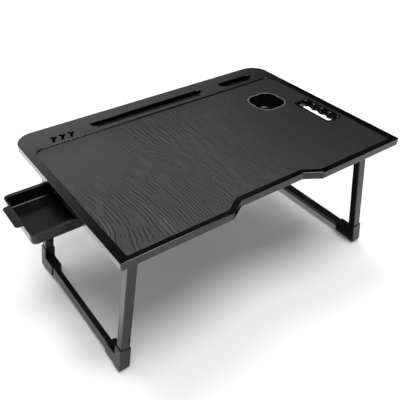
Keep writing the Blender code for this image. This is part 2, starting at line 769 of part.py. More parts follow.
def build_drawer(root, plastic):
    """Moulded tray with side flanges that run in the rails, and a finger tab at its front."""
    front_x = -board_width / 2 - drawer_open
    axis = make_empty("drawer_slide_axis", root, (front_x, drawer_middle_y, drawer_rim))
    bottom = -drawer_height
    inner_radius = drawer_bottom_radius - drawer_wall
    flange = (drawer_end_lip, drawer_flange_width)
    curve = drawer_bottom_radius * (1 - math.cos(math.pi / 4))
    rings = [
        at_height(tray_outline(-drawer_bottom_radius, -drawer_bottom_radius), bottom),
        at_height(tray_outline(-curve, -curve), bottom + curve),
        at_height(tray_outline(0, 0), bottom + drawer_bottom_radius),
        at_height(tray_outline(0, 0), -drawer_flange_thickness),
        at_height(tray_outline(*flange), -drawer_flange_thickness),
        at_height(tray_outline(*flange), 0),
        at_height(tray_outline(-drawer_wall, -drawer_wall), 0),
        at_height(tray_outline(-drawer_wall, -drawer_wall), bottom + drawer_floor + inner_radius),
        at_height(tray_outline(-drawer_bottom_radius, -drawer_bottom_radius), bottom + drawer_floor),
    ]
    tray = make_object("drawer_tray", loft(rings), plastic, axis, smooth=True)
    tab_front = tab_middle_y - drawer_middle_y - tab_width / 2
    tab_rear = tab_front + tab_width
    tab_outline = rounded_outline([
        (-tab_reach, tab_front, tab_corner_radius), (drawer_wall / 2, tab_front, 0),
        (drawer_wall / 2, tab_rear, 0), (-tab_reach, tab_rear, tab_corner_radius)])
    tab_low = -drawer_flange_thickness - tab_thickness
    shape_with(tray, "pull_tab", prism(tab_outline, tab_low, -drawer_flange_thickness / 2), "UNION")


def build_drawer_rail(name, row, root, plastic):
    """Extruded rail: a foot screwed to the board and a lip under the drawer's side flange."""
    top = board_underside - seat_gap
    foot = top - rail_sheet
    lip_high = drawer_rim - drawer_flange_thickness - drawer_running_gap / 2
    lip_low = lip_high - rail_lip
    side = drawer_middle_y + row * drawer_width / 2
    play = rail_side_play
    section = [(play, top), (rail_outer, top), (rail_outer, foot), (rail_web + rail_sheet, foot),
               (rail_web + rail_sheet, lip_low), (play, lip_low), (play, lip_high),
               (rail_web, lip_high), (rail_web, foot), (play, foot)]
    outer_end, inner_end = rail_ends()
    rail = make_object(name, prism([(side + row * u, z) for u, z in section], outer_end, inner_end, "x"),
                       plastic, root)
    stop_top = foot + rail_sheet / 2
    stop = [(play, lip_low), (rail_web + rail_sheet, lip_low), (rail_web + rail_sheet, stop_top),
            (play, stop_top)]
    stop_shape = prism([(side + row * u, z) for u, z in stop], inner_end - rail_stop_length, inner_end, "x")
    shape_with(rail, name + "_stop", stop_shape, "UNION")
    holes = bmesh.new()
    for place in rail_screw_places(row):
        turned([(screw_hole_radius, foot - cut_overrun), (screw_hole_radius, top + cut_overrun)],
               screw_sides, place, holes)
    shape_with(rail, name + "_screw_holes", holes, "DIFFERENCE")


def build_table():
    clear_scene()
    plastic = make_material("black_moulded_plastic", plastic_finish)
    steel = make_material("black_powder_coat", powder_coat_finish)
    zinc = make_material("zinc_plated_steel", zinc_finish)
    rubber = make_material("black_rubber", rubber_finish)
    root = make_empty("table_middle", None, (table_middle_x, 0, 0))
    build_board(root)
    build_cup_well(root, plastic)
    build_handle_insert(root, plastic)
    screw = screw_mesh(zinc)
    for side, name, row, y in bracket_places():
        label = f"{name}_{row}"
        build_bracket(label + "_hinge_bracket", side, y, root, steel)
        build_pin(label + "_pivot_pin", side, y, root, zinc)
        place_screws(label + "_bracket_screw", screw, bracket_screw_places(side, y), bracket_sheet, root)
    for side, name in ((-1, "left"), (1, "right")):
        build_leg(side, name, root, steel, plastic, rubber)
    build_drawer(root, plastic)
    for row, name in ((-1, "front"), (1, "rear")):
        build_drawer_rail(name + "_drawer_rail", row, root, plastic)
        place_screws(name + "_rail_screw", screw, rail_screw_places(row), rail_sheet, root)


build_table()
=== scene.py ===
import math

import bmesh
import bpy
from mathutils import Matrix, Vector


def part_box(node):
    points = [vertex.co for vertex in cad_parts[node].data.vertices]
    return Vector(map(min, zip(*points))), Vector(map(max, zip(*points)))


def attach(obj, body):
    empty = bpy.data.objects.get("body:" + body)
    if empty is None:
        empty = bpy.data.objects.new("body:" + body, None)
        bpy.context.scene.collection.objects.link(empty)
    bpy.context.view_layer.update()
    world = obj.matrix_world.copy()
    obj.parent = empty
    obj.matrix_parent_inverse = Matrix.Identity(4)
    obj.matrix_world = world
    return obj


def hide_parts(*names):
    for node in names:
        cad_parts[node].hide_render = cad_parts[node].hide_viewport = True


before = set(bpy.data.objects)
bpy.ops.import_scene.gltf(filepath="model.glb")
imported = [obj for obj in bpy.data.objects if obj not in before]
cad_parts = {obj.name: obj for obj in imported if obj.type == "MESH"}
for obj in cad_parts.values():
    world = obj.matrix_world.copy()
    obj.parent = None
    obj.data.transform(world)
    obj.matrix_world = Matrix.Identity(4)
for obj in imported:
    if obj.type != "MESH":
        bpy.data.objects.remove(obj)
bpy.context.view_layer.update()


# Studio: the camera stands in front of the left front corner and looks down on the table. Two
# wide soft lights hang overhead. A sheet of light at the left, a strip in front, a graded pale
# wall behind, a black flag behind the table and a black sheet of painted shade under it are
# there only for its gloss.
view_azimuth = math.radians(-35.94)
view_elevation = math.radians(36.75)
view_roll = math.radians(0.46)
view_distance = 0.883
view_target = Vector((-0.08404, -0.15187, 0.286))
camera_data = bpy.data.cameras.new("camera")
camera_data.lens = 49.55
camera_data.sensor_width = 36.0
camera = bpy.data.objects.new("camera", camera_data)
bpy.context.scene.collection.objects.link(camera)
camera.location = view_target + view_distance * Vector((
    math.sin(view_azimuth) * math.cos(view_elevation),
    -math.cos(view_azimuth) * math.cos(view_elevation),
    math.sin(view_elevation)))
camera.rotation_euler = (math.pi / 2 - view_elevation, 0, view_azimuth)
camera.rotation_euler.rotate_axis("Z", view_roll)
bpy.context.scene.camera = camera


def hang_lamp(name, place, target, width, height, power):
    """A soft rectangular lamp that faces a target and isn't seen itself."""
    lamp_data = bpy.data.lights.new(name, "AREA")
    lamp_data.shape = "RECTANGLE"
    lamp_data.size = width
    lamp_data.size_y = height
    lamp_data.energy = power
    lamp = bpy.data.objects.new(name, lamp_data)
    bpy.context.scene.collection.objects.link(lamp)
    lamp.location = place
    lamp.rotation_euler = (Vector(target) - Vector(place)).to_track_quat("-Z", "Y").to_euler()
    lamp.visible_camera = False
    return lamp


left_sheet = hang_lamp("left_sheet", (-0.47, 0.10, 0.006), (-0.47, 0.10, 1.0), 0.28, 1.2, 0.85)
front_strip = hang_lamp("front_strip", (0.235, -0.57, 1.32), (-0.15, -0.03, 0.286), 0.36, 0.60, 14.0)
for lamp in (left_sheet, front_strip):
    lamp.visible_diffuse = False
for label, tilt, spread, strength in (("front_overhead_light", 14, 32, 2.10),
                                      ("rear_overhead_light", -20, 24, 1.12)):
    sky_data = bpy.data.lights.new(label, "SUN")
    sky_data.energy = strength
    sky_data.angle = math.radians(spread)
    sky = bpy.data.objects.new(label, sky_data)
    sky.visible_glossy = tilt > 0
    bpy.context.scene.collection.objects.link(sky)
    sky.rotation_euler = (math.radians(tilt), 0, 0)


def add_node(tree, kind, values=(), links=()):
    """A node with some of its sockets set and others linked, by socket name or number."""
    node = tree.nodes.new(kind)
    for socket, value in dict(values).items():
        node.inputs[socket].default_value = value
    for socket, source in dict(links).items():
        tree.links.new(source, node.inputs[socket])
    return node


def add_math(tree, operation, first, second):
    """A math node; each operand is a number or an output."""
    node = tree.nodes.new("ShaderNodeMath")
    node.operation = operation
    for socket, operand in ((0, first), (1, second)):
        if isinstance(operand, (int, float)):
            node.inputs[socket].default_value = operand
        else:
            tree.links.new(operand, node.inputs[socket])
    return node.outputs[0]


def add_range(tree, value, from_low, from_high, to_low, to_high):
    """Spread a value from one range over another, smoothly and without overshoot."""
    ends = {"From Min": from_low, "From Max": from_high, "To Min": to_low, "To Max": to_high}
    node = add_node(tree, "ShaderNodeMapRange", ends, {"Value": value})
    node.interpolation_type = "SMOOTHSTEP"
    return node.outputs["Result"]


def add_mix(tree, factor, first, second):
    """Mix two colours by a factor; each colour is three numbers or an output."""
    node = tree.nodes.new("ShaderNodeMix")
    node.data_type = "RGBA"
    tree.links.new(factor, node.inputs[0])
    for socket, colour in ((6, first), (7, second)):
        if isinstance(colour, tuple):
            node.inputs[socket].default_value = (*colour, 1.0)
        else:
            tree.links.new(colour, node.inputs[socket])
    return node.outputs[2]


scene = bpy.context.scene
scene.view_settings.view_transform = "Standard"
world = bpy.data.worlds.new("pale_room")
world.use_nodes = True
scene.world = world
room = world.node_tree
white = (1.0, 1.0, 1.0, 1.0)
room_light = room.nodes["Background"]
room_light.inputs["Color"].default_value = white
room_light.inputs["Strength"].default_value = 0.36
pale_wall = add_node(room, "ShaderNodeBackground", {"Color": white})
room_rays = room.nodes.new("ShaderNodeLightPath")
room_place = room.nodes.new("ShaderNodeTexCoord")
way = add_node(room, "ShaderNodeSeparateXYZ", (), {0: room_place.outputs["Generated"]})
level_reach = add_math(room, "SQRT", add_math(
    room, "ADD", add_math(room, "MULTIPLY", way.outputs["X"], way.outputs["X"]),
    add_math(room, "MULTIPLY", way.outputs["Y"], way.outputs["Y"])), 0.0)
rightwards = add_math(room, "DIVIDE", way.outputs["X"], level_reach)
wall_light = add_math(room, "MULTIPLY", add_range(room, way.outputs["Z"], 0.44, 0.68, 1.0, 0.0),
                      add_range(room, rightwards, 0.10, 0.75, 1.20, 0.30))
for fade in (add_range(room, rightwards, 0.60, 0.74, 1.0, 0.0),
             add_range(room, way.outputs["Y"], 0.0, 0.3, 0.0, 1.0)):
    wall_light = add_math(room, "MULTIPLY", wall_light, fade)
mirrored_wall = add_node(room, "ShaderNodeBackground", {"Color": white},
                         {"Strength": add_math(room, "ADD", wall_light, 0.008)})
gloss_mix = add_node(room, "ShaderNodeMixShader", (), {
    0: room_rays.outputs["Is Glossy Ray"], 1: room_light.outputs["Background"],
    2: mirrored_wall.outputs["Background"]})
room_mix = add_node(room, "ShaderNodeMixShader", (), {
    0: room_rays.outputs["Is Camera Ray"], 1: gloss_mix.outputs["Shader"],
    2: pale_wall.outputs["Background"]})
room.links.new(room_mix.outputs["Shader"], room.nodes["World Output"].inputs["Surface"])

bpy.ops.object.select_all(action="DESELECT")
bpy.ops.mesh.primitive_plane_add(size=2.6, location=(0.039, 0.1, 0.0))
bpy.ops.object.transform_apply(location=True)
floor = bpy.context.object
floor.name = "studio_floor"
floor_paint = bpy.data.materials.new("white_floor_paint")
floor_paint.use_nodes = True
paint = floor_paint.node_tree
paint_shader = paint.nodes["Principled BSDF"]
paint_shader.inputs["Base Color"].default_value = (0.90, 0.90, 0.90, 1.0)
paint_shader.inputs["Roughness"].default_value = 0.8
paint_shader.inputs["Specular IOR Level"].default_value = 0.0
paint_glow = add_node(paint, "ShaderNodeEmission", {"Strength": 0.03})
paint_rays = paint.nodes.new("ShaderNodeLightPath").outputs
seen = add_math(paint, "MAXIMUM", paint_rays["Is Camera Ray"], paint_rays["Is Glossy Ray"])
seen = add_math(paint, "MAXIMUM", seen, paint_rays["Is Transmission Ray"])
paint_sum = add_node(paint, "ShaderNodeAddShader", (), {
    0: paint_shader.outputs["BSDF"], 1: paint_glow.outputs["Emission"]})
paint_mix = add_node(paint, "ShaderNodeMixShader", (), {
    0: seen, 1: paint_shader.outputs["BSDF"], 2: paint_sum.outputs["Shader"]})
paint.links.new(paint_mix.outputs["Shader"], paint.nodes["Material Output"].inputs["Surface"])
floor.data.materials.append(floor_paint)
flag_cloth = bpy.data.materials.new("black_flag_and_shade_sheet_cloth")
flag_cloth.use_nodes = True
cloth_shader = flag_cloth.node_tree.nodes["Principled BSDF"]
cloth_shader.inputs["Base Color"].default_value = (0.0, 0.0, 0.0, 1.0)
cloth_shader.inputs["Specular IOR Level"].default_value = 0.0
# Seen only in reflections: the sheet under the table is painted shade, a black sheet that darkens the
# reflected shaded floor there; the flag behind keeps the pale wall out of the foot bars' tops.
for label, place, width, height, tilt in (
        ("shade_sheet_under_table", (0.05, 0.07, 0.001), 0.54, 0.58, 0.0),
        ("flag_behind_table", (0.070, 0.235, 0.122), 0.64, 0.24, 90.0)):
    bpy.ops.mesh.primitive_plane_add(size=1.0, location=place, rotation=(math.radians(tilt), 0, 0))
    flag = bpy.context.object
    flag.name = label
    flag.scale = (width, height, 1.0)
    bpy.ops.object.transform_apply(location=True, rotation=True, scale=True)
    flag.data.materials.append(flag_cloth)
    flag.visible_camera = flag.visible_diffuse = flag.visible_shadow = False


# Board: a 14 mm fibreboard panel wrapped in smooth satin black film. Its front edge has a
# shallow notch for the user, its rear corners are round, and a field is routed 3 mm deep into
# it, with two device slots and three pen holes in the rail that is left behind the field.
hair = 0.00005


def start_block(name, low, high):
    """A block between two corners, opened in edit mode with all of it selected."""
    low, high = Vector(low), Vector(high)
    if bpy.context.mode != "OBJECT":
        bpy.ops.object.mode_set(mode="OBJECT")
    bpy.ops.object.select_all(action="DESELECT")
    bpy.ops.mesh.primitive_cube_add(size=1.0, location=(low + high) / 2)
    block = bpy.context.object
    block.name = name
    block.scale = high - low
    bpy.ops.object.transform_apply(location=True, rotation=True, scale=True)
    bpy.ops.object.mode_set(mode="EDIT")
    return block


def start_rod(name, middle, radius, length, axis="Z", sides=48):
    """A round rod about a middle point, opened in edit mode with all of it selected."""
    if bpy.context.mode != "OBJECT":
        bpy.ops.object.mode_set(mode="OBJECT")
    bpy.ops.object.select_all(action="DESELECT")
    turn = {"X": (0, math.pi / 2, 0), "Y": (math.pi / 2, 0, 0), "Z": (0, 0, 0)}[axis]
    bpy.ops.mesh.primitive_cylinder_add(vertices=sides, radius=radius, depth=length,
                                        location=middle, rotation=turn)
    rod = bpy.context.object
    rod.name = name
    bpy.ops.object.transform_apply(location=True, rotation=True, scale=True)
    bpy.ops.object.mode_set(mode="EDIT")
    return rod


def pick_all():
    """Select everything in the open piece."""
    bpy.ops.mesh.select_all(action="SELECT")


def pick(kind, test):
    """Select the verts, edges or faces of the open piece whose points all pass a test."""
    bpy.ops.mesh.select_mode(type=kind)
    bpy.ops.mesh.select_all(action="DESELECT")
    mesh = bmesh.from_edit_mesh(bpy.context.object.data)
    if kind == "VERT":
        chosen = [vert for vert in mesh.verts if test(vert.co)]
    else:
        parts = mesh.edges if kind == "EDGE" else mesh.faces
        chosen = [part for part in parts if all(test(vert.co) for vert in part.verts)]
    for part in chosen:
        part.select_set(True)
    mesh.select_flush_mode()
    bmesh.update_edit_mesh(bpy.context.object.data)


def pick_upright(x, y):
    """Select the upright edge that stands at a place in plan."""
    pick("EDGE", lambda p: abs(p.x - x) < hair and abs(p.y - y) < hair)


def round_picked(offset, segments):
    bpy.ops.mesh.bevel(offset=offset, segments=segments, profile=0.5, affect="EDGES",
                       clamp_overlap=False)


def rounded_block(name, low, high, corner, segments):
    """A block with its four upright edges rounded."""
    block = start_block(name, low, high)
    for x in (low[0], high[0]):
        for y in (low[1], high[1]):
            pick_upright(x, y)
            round_picked(corner, segments)
    return block


def push_picked(x, y, z):
    """Extrude the picked faces along a vector."""
    bpy.ops.mesh.extrude_region_move(TRANSFORM_OT_translate={"value": (x, y, z)})


def inset_picked(thickness):
    bpy.ops.mesh.inset(thickness=thickness, use_even_offset=True, use_boundary=True)


def cut_through(x):
    """Cut the open piece all round at an x, so that its sides can be bent there."""
    pick_all()
    bpy.ops.mesh.bisect(plane_co=(x, 0, 0), plane_no=(1, 0, 0))


def merge_flat():
    """Join the faces that lie in one plane again."""
    same_plane = math.radians(0.5)
    pick_all()
    bpy.ops.mesh.dissolve_limited(angle_limit=same_plane)


def cut_out(piece, cutter, operation="DIFFERENCE"):
    """Take a closed shape away from a piece, or join it to the piece."""
    bpy.ops.object.mode_set(mode="OBJECT")
    bpy.context.view_layer.objects.active = piece
    boolean = piece.modifiers.new("cut_out", "BOOLEAN")
    boolean.operation = operation
    boolean.solver = "EXACT"
    boolean.object = cutter
    bpy.ops.object.modifier_apply(modifier=boolean.name)
    bpy.data.objects.remove(cutter, do_unlink=True)
    bpy.ops.object.select_all(action="DESELECT")
    piece.select_set(True)
    bpy.ops.object.mode_set(mode="EDIT")


def weigh_normals(piece):
    """Shade each large face flat and let only the round edges beside it look round."""
    weighted = piece.modifiers.new("weighted_normals", "WEIGHTED_NORMAL")
    weighted.keep_sharp = True
    bpy.ops.object.modifier_apply(modifier=weighted.name)


def finish_piece(piece, material, sharp_angle=40):
    """Close the edit: faces outwards, soft where the edges are round, and one finish all over."""
    weld_reach = 0.00001
    pick_all()
    bpy.ops.mesh.remove_doubles(threshold=weld_reach)
    bpy.ops.mesh.delete_loose(use_verts=True, use_edges=True, use_faces=False)
    pick_all()
    bpy.ops.mesh.normals_make_consistent(inside=False)
    bpy.ops.object.mode_set(mode="OBJECT")
    bpy.ops.object.shade_smooth_by_angle(angle=math.radians(sharp_angle))
    weigh_normals(piece)
    piece.data.materials.clear()
    piece.data.materials.append(material)


def start_material(name, colour, roughness, metallic=0.0):
    """A new material with the plain values of its shader set; gives its tree and shader too."""
    material = bpy.data.materials.new(name)
    material.use_nodes = True
    shader = material.node_tree.nodes["Principled BSDF"]
    shader.inputs["Base Color"].default_value = (*colour, 1.0)
    shader.inputs["Roughness"].default_value = roughness
    shader.inputs["Metallic"].default_value = metallic
    return material, material.node_tree, shader


def start_group(name, inputs, outputs):
    """A node group with number inputs and outputs; gives its tree, input node and output node."""
    group = bpy.data.node_groups.new(name, "ShaderNodeTree")
    for label, value in inputs.items():
        socket = group.interface.new_socket(label, in_out="INPUT", socket_type="NodeSocketFloat")
        socket.default_value = value
    for label in outputs:
        group.interface.new_socket(label, in_out="OUTPUT", socket_type="NodeSocketFloat")
    return group, group.nodes.new("NodeGroupInput"), group.nodes.new("NodeGroupOutput")


def use_group(tree, group, values):
    node = tree.nodes.new("ShaderNodeGroup")
    node.node_tree = group
    for label, value in values.items():
        node.inputs[label].default_value = value
    return node


# Fine relief and soft marks that every skin of the table has, each at a size of its own
surface_group, surface_in, surface_out = start_group(
    "skin_texture", {"Relief Scale": 1200.0, "Marks Scale": 9.0}, ("Relief", "Marks", "Edges"))
place = surface_group.nodes.new("ShaderNodeTexCoord").outputs["Object"]
relief = add_node(surface_group, "ShaderNodeTexNoise", {"Detail": 2.0, "Roughness": 0.55},
                  {"Vector": place, "Scale": surface_in.outputs["Relief Scale"]})
blotches = add_node(surface_group, "ShaderNodeTexNoise",
                    {"Detail": 4.0, "Roughness": 0.6, "Distortion": 0.8},
                    {"Vector": place, "Scale": surface_in.outputs["Marks Scale"]})
soft_marks = add_range(surface_group, blotches.outputs["Fac"], 0.38, 0.66, 0.0, 1.0)
pointed = surface_group.nodes.new("ShaderNodeNewGeometry").outputs["Pointiness"]
edge_mask = add_range(surface_group, pointed, 0.505, 0.56, 0.0, 1.0)
worn_edges = add_math(surface_group, "MULTIPLY", edge_mask, add_range(
    surface_group, blotches.outputs["Fac"], 0.3, 0.6, 0.35, 1.0))
for label, source in (("Relief", relief.outputs["Fac"]), ("Marks", soft_marks), ("Edges", worn_edges)):
    surface_group.links.new(source, surface_out.inputs[label])


def dress_skin(name, dark, pale, smooth, rough, relief_scale, relief_depth, marks_scale,
               metallic=0.0, specular=0.5):
    """A skin whose colour lightens on its edges and whose gloss is broken by soft marks."""
    material, tree, shader = start_material(name, dark, smooth, metallic)
    shader.inputs["Specular IOR Level"].default_value = specular
    skin = use_group(tree, surface_group, {"Relief Scale": relief_scale, "Marks Scale": marks_scale})
    tree.links.new(add_mix(tree, skin.outputs["Edges"], dark, pale), shader.inputs["Base Color"])
    tree.links.new(add_range(tree, skin.outputs["Marks"], 0.0, 1.0, smooth, rough),
                   shader.inputs["Roughness"])
    bump_strength = 0.35
    bump = add_node(tree, "ShaderNodeBump", {"Strength": bump_strength, "Distance": relief_depth},
                    {"Height": skin.outputs["Relief"]})
    tree.links.new(bump.outputs["Normal"], shader.inputs["Normal"])
    return material


wrap_film = dress_skin("black_wrap_film", (0.0014, 0.0014, 0.0015), (0.008, 0.008, 0.008),
                       0.11, 0.15, 1400.0, 0.00003, 7.0)
board_low, board_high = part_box("tabletop_board")
middle_x = (board_low.x + board_high.x) / 2
notch_mouth, notch_inner, notch_depth = 0.0985, 0.0685, 0.019
notch_turn = math.atan2(notch_depth, notch_mouth - notch_inner)


def notched_block(name, low, high, mouth, inner):
    """A block whose front side follows the notch in the board's front edge."""
    block = start_block(name, low, high)
    for bend in (-mouth, -inner, inner, mouth):
        cut_through(middle_x + bend)
    pick("VERT", lambda p: abs(p.x - middle_x) < inner + hair and p.y < low[1] + hair)
    bpy.ops.transform.translate(value=(0, notch_depth, 0))
    merge_flat()
    return block


board = notched_block("wrapped_board", board_low, board_high, notch_mouth, notch_inner)
notch_back = board_low.y + notch_depth
notch_corner = 0.004 * math.tan(notch_turn / 2)
for side in (-1, 1):
    pick_upright(middle_x + side * notch_mouth, board_low.y)
    round_picked(notch_corner, 4)
    pick_upright(middle_x + side * notch_inner, notch_back)
    round_picked(notch_corner, 4)
for x in (board_low.x, board_high.x):
    pick_upright(x, board_high.y)
    round_picked(0.038, 14)
    pick_upright(x, board_low.y)
    round_picked(0.003, 4)
for level in (board_low.z, board_high.z):
    pick("EDGE", lambda p: abs(p.z - level) < hair)
    round_picked(0.0011, 4)

# The routed field: an even 11 mm from the front edge, 16 mm from the ends, 67 mm from the rear
field_depth, field_edge = 0.0031, 0.0007
field_front_border, field_side_border, field_rear_border = 0.011, 0.016, 0.0672
field_floor = board_high.z - field_depth
field_low = Vector((board_low.x + field_side_border, board_low.y + field_front_border, field_floor))
field_high = Vector((board_high.x - field_side_border, board_high.y - field_rear_border,
                     board_high.z + 0.002))
widening = field_front_border * math.tan(notch_turn / 2)
field = notched_block("field_cutter", field_low, field_high, notch_mouth + widening,
                      notch_inner + widening)
for x in (field_low.x, field_high.x):
    pick_upright(x, field_high.y)
    round_picked(0.020, 12)
    pick_upright(x, field_low.y)
    round_picked(0.003, 4)
cut_out(board, field)


def inside_board(p, inset):
    """Whether a point of the board's top lies more than an inset behind its front edge."""
    along = (abs(p.x - middle_x) - notch_inner) / (notch_mouth - notch_inner)
    front = board_low.y + notch_depth * (1 - min(max(along, 0), 1))
    return p.y > front + inset and abs(p.x - middle_x) < board_high.x - middle_x - inset


pick("EDGE", lambda p: (abs(p.z - board_high.z) < hair and p.y < field_high.y + hair
                        and inside_board(p, field_front_border / 2)))
round_picked(field_edge, 4)

# Device slots: a deep groove with a ledge in front of it that falls a little towards the user
slot_middle_y = board_high.y - 0.0440
slot_width, groove_width, groove_depth, ledge_depth = 0.0235, 0.0145, 0.008, 0.0016
ledge_fall = 0.0008


def stadium_block(name, x, y, length, width, low, high):
    """A block with round ends, its length along X."""
    half, flat_end, segments = Vector((length / 2, width / 2, 0)), 0.0003, 8
    return rounded_block(name, (x - half.x, y - half.y, low), (x + half.x, y + half.y, high),
                         half.y - flat_end, segments)


for slot_x, slot_length in ((middle_x - 0.022, 0.270), (middle_x + 0.2045, 0.093)):
    groove_y = slot_middle_y + (slot_width - groove_width) / 2 - hair
    groove = stadium_block("groove_cutter", slot_x, groove_y, slot_length - 0.008,
                           groove_width - 2 * hair, board_high.z - groove_depth,
                           board_high.z + 0.002)
    cut_out(board, groove)
    ledge = stadium_block("ledge_cutter", slot_x, slot_middle_y, slot_length, slot_width,
                          board_high.z - ledge_depth, board_high.z + 0.002)
    cut_out(board, ledge)
    groove_front = slot_middle_y + slot_width / 2 - groove_width
    straight_half = (slot_length - slot_width) / 2
    fall = start_block("ledge_fall_cutter",
                       (slot_x - straight_half, slot_middle_y - slot_width / 2 + hair,
                        board_high.z - ledge_depth - ledge_fall),
                       (slot_x + straight_half, groove_front + hair, board_high.z - hair))
    ledge_slope = Vector((0, -ledge_fall, slot_width - groove_width)).normalized()
    pick_all()
    bpy.ops.mesh.bisect(plane_co=(slot_x, groove_front, board_high.z - ledge_depth),
                        plane_no=ledge_slope, use_fill=True, clear_inner=True)
    cut_out(board, fall)
    pick("EDGE", lambda p: (abs(p.z - board_high.z) < hair
                            and abs(p.y - slot_middle_y) < slot_width / 2 + hair
                            and abs(p.x - slot_x) < slot_length / 2 + hair))
    round_picked(0.0010, 4)

# Pen holes: three round-ended arms of unlike length that meet in the middle
for hole in range(3):
    hole_x = middle_x - 0.235 + 0.018 * hole
    hole_y = board_high.y - 0.0475
    arms = ((32, 0.0078), (118, 0.0092), (245, 0.0140))
    for angle, reach in arms:
        arm = stadium_block("arm_cutter", hole_x + reach / 2 - 0.0010, hole_y, reach + 0.0020,
                            0.0056, board_high.z - 0.009, board_high.z + 0.002)
        pick_all()
        bpy.ops.transform.rotate(value=-math.radians(angle), orient_axis="Z",
                                 center_override=(hole_x, hole_y, 0))
        cut_out(board, arm)
    pick("EDGE", lambda p: (abs(p.z - board_high.z) < hair and abs(p.x - hole_x) < 0.0096
                            and abs(p.y - hole_y) < 0.016))
    round_picked(0.0003, 2)

# Openings for the cup well and the carry handle, right through the board
seat_gap = 0.0003
cup_x, cup_y = board_high.x - 0.102, board_low.y + 0.263
lobe_radius, lobe_offset, cup_wall, cup_flange = 0.0255, 0.0120, 0.0016, 0.0018
handle_x, handle_y = board_high.x - 0.0422, board_low.y + 0.1735
handle_half_x, handle_half_y, handle_corner = 0.01625, 0.0465, 0.004
handle_wall, handle_flange = 0.0018, 0.0026


def clover_block(name, radius, low, high):
    """Four round lobes joined into one block with flat ends."""
    reach = lobe_offset * math.sqrt(0.5)
    clover = None
    for x, y in ((reach, reach), (-reach, reach), (-reach, -reach), (reach, -reach)):
        lobe = start_rod(name, (cup_x + x, cup_y + y, (low + high) / 2), radius, high - low)
        if clover:
            cut_out(clover, lobe, "UNION")
        clover = clover or lobe
    merge_flat()
    return clover


def handle_block(name, outset, low, high):
    """A block with the round-cornered plan of the carry handle, made larger all round."""
    corner, segments = Vector((handle_half_x + outset, handle_half_y + outset)), 6
    return rounded_block(name, (handle_x - corner.x, handle_y - corner.y, low),
                         (handle_x + corner.x, handle_y + corner.y, high),
                         handle_corner + outset, segments)


cut_out(board, clover_block("cup_cutter", lobe_radius + cup_wall + seat_gap,
                            board_low.z - 0.002, board_high.z))
cut_out(board, handle_block("handle_cutter", handle_wall + seat_gap,
                            board_low.z - 0.002, board_high.z))
finish_piece(board, wrap_film)
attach(board, "tabletop")
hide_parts("tabletop_board")


# Wood-grain sheet: a 1 mm charcoal sheet embossed with flat-sawn oak grain, glued into the
# routed field. Its grain runs from front to back and swings round a flame at the front left.
grain_sheet, grain_tree, grain_shader = start_material("charcoal_wood_grain", (0.03, 0.03, 0.03), 0.5)
place = grain_tree.nodes.new("ShaderNodeTexCoord").outputs["Object"]
along = grain_tree.nodes.new("ShaderNodeSeparateXYZ")
grain_tree.links.new(place, along.inputs[0])
grain_x, grain_y = along.outputs["X"], along.outputs["Y"]


def swing_lines(shift, x_from, x_to, y_from, y_to, x_end=None):
    """Shift the lines sideways, fading in over a stretch of X and of Y, and out again in X."""
    swing = add_math(grain_tree, "MULTIPLY", add_range(grain_tree, grain_x, x_from, x_to, 0.0, 1.0),
                     add_range(grain_tree, grain_y, y_from, y_to, 0.0, shift))
    if x_end:
        swing = add_math(grain_tree, "MULTIPLY", swing,
                         add_range(grain_tree, grain_x, x_end[0], x_end[1], 1.0, 0.0))
    return swing


def grain_noise(scale_x, scale_y):
    """Random soft spots, so many to the metre across and along the grain."""
    spot_place = add_node(grain_tree, "ShaderNodeMapping", {"Scale": (scale_x, scale_y, 1.0)},
                          {"Vector": place})
    spots = add_node(grain_tree, "ShaderNodeTexNoise", {"Scale": 1.0, "Detail": 1.0},
                     {"Vector": spot_place.outputs["Vector"]})
    return spots.outputs["Fac"]


def wave_lines(scale_x, scale_y, shift):
    """Shift the lines sideways at random, with waves of a size across and along the grain."""
    return add_math(grain_tree, "MULTIPLY", grain_noise(scale_x, scale_y), shift)


across = grain_x
for shift in (swing_lines(0.040, -0.27, -0.14, -0.07, 0.05, (-0.12, 0.06)),
              add_math(grain_tree, "MULTIPLY", add_range(grain_tree, grain_x, -0.24, -0.14, 0.018, 0.0),
                       add_range(grain_tree, grain_y, -0.20, -0.12, 1.0, 0.0)),
              wave_lines(7.0, 3.0, 0.035), wave_lines(60.0, 32.0, 0.0055),
              wave_lines(150.0, 110.0, 0.0022)):
    across = add_math(grain_tree, "ADD", across, shift)


def grain_lines(lines_per_metre, streaks_per_metre, detail):
    """Irregular lines that follow the grain, so many to the metre across and along it."""
    lane = grain_tree.nodes.new("ShaderNodeCombineXYZ")
    grain_tree.links.new(add_math(grain_tree, "MULTIPLY", across, lines_per_metre), lane.inputs[0])
    grain_tree.links.new(add_math(grain_tree, "MULTIPLY", grain_y, streaks_per_metre),
                         lane.inputs[1])
    lines = add_node(grain_tree, "ShaderNodeTexNoise", {"Scale": 1.0, "Detail": detail, "Roughness": 0.55},
                     {"Vector": lane.outputs[0]})
    return lines.outputs["Fac"]


def ring_mask(rings_per_metre, thin, thick):
    """Narrow dark lines at an even pitch across the grain: nothing in the line, one beside it."""
    ring = add_math(grain_tree, "PINGPONG", add_math(grain_tree, "MULTIPLY", across, rings_per_metre), 0.5)
    return add_range(grain_tree, ring, thin, thick, 0.0, 1.0)


